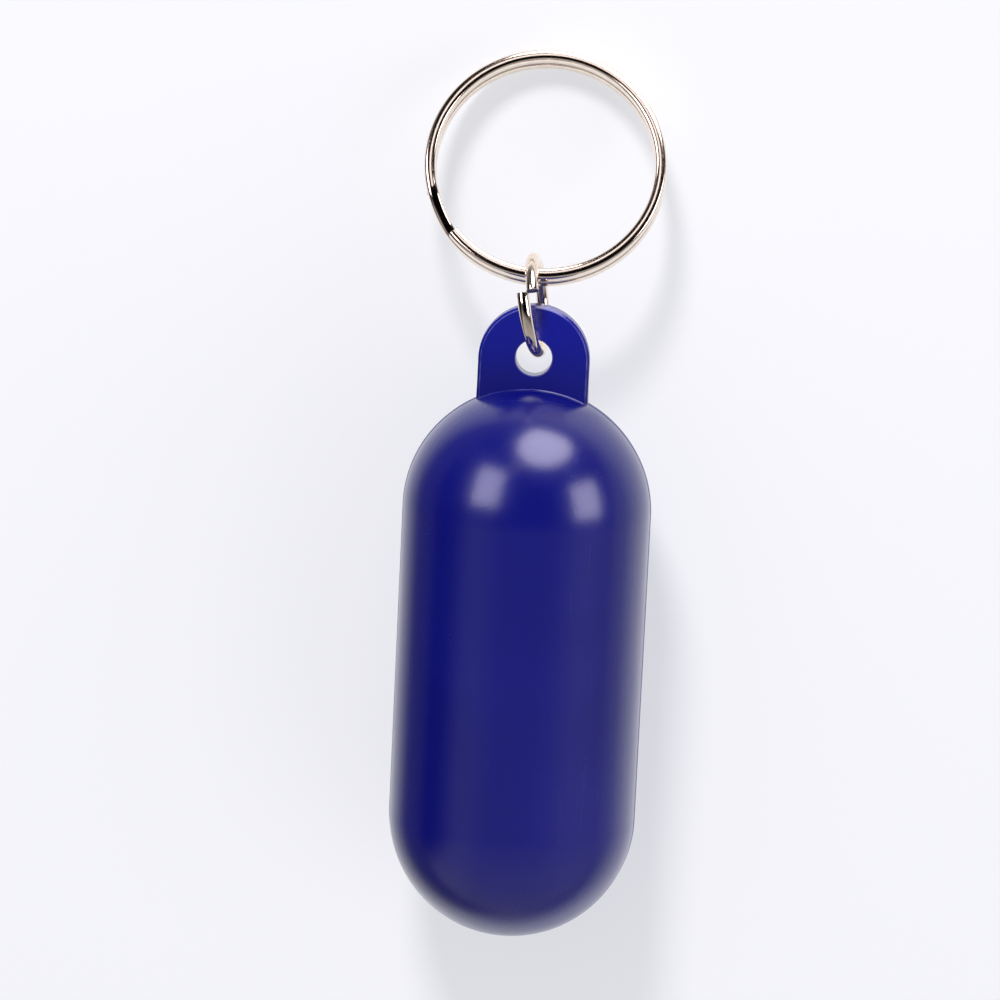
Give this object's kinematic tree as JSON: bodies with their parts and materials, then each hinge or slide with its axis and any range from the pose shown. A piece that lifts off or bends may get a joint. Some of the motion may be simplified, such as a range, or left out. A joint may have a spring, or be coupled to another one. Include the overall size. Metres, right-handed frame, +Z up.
{
  "type": "floating keychain",
  "caption": "Capsule float with a moulded eye tab, a wire jump ring through the tab and a two-turn split key ring, lying at rest.",
  "frame": {"origin": "on the table under the middle of the whole keychain, with the float lying on its side", "axes": "+Y along the float's long axis towards the key ring, +X across the flat of the tab, +Z up from the table"},
  "size_m": [0.0302, 0.1077, 0.03],
  "materials": {
    "float_plastic": "satin gloss, deep blue, moulded in one colour",
    "jump_ring_plate": "bright nickel plate on steel wire",
    "split_ring_plate": "bright nickel plate on flattened steel wire"
  },
  "bodies": {
    "float": {"float_body": "float_plastic"},
    "jump_ring": {"jump_ring": "jump_ring_plate"},
    "split_ring": {"split_ring": "split_ring_plate"}
  },
  "joints": [
    {"name": "jump_ring_swing", "type": "hinge", "parent": "float", "child": "jump_ring", "pos_m": [0, 0.01802, 0.015], "axis": [0, 0, 1], "range_deg": [-45, 45]},
    {"name": "split_ring_flop", "type": "hinge", "parent": "jump_ring", "child": "split_ring", "pos_m": [0, 0.02425, 0.015], "axis": [1, 0, 0], "range_deg": [-95, 138]}
  ]
}
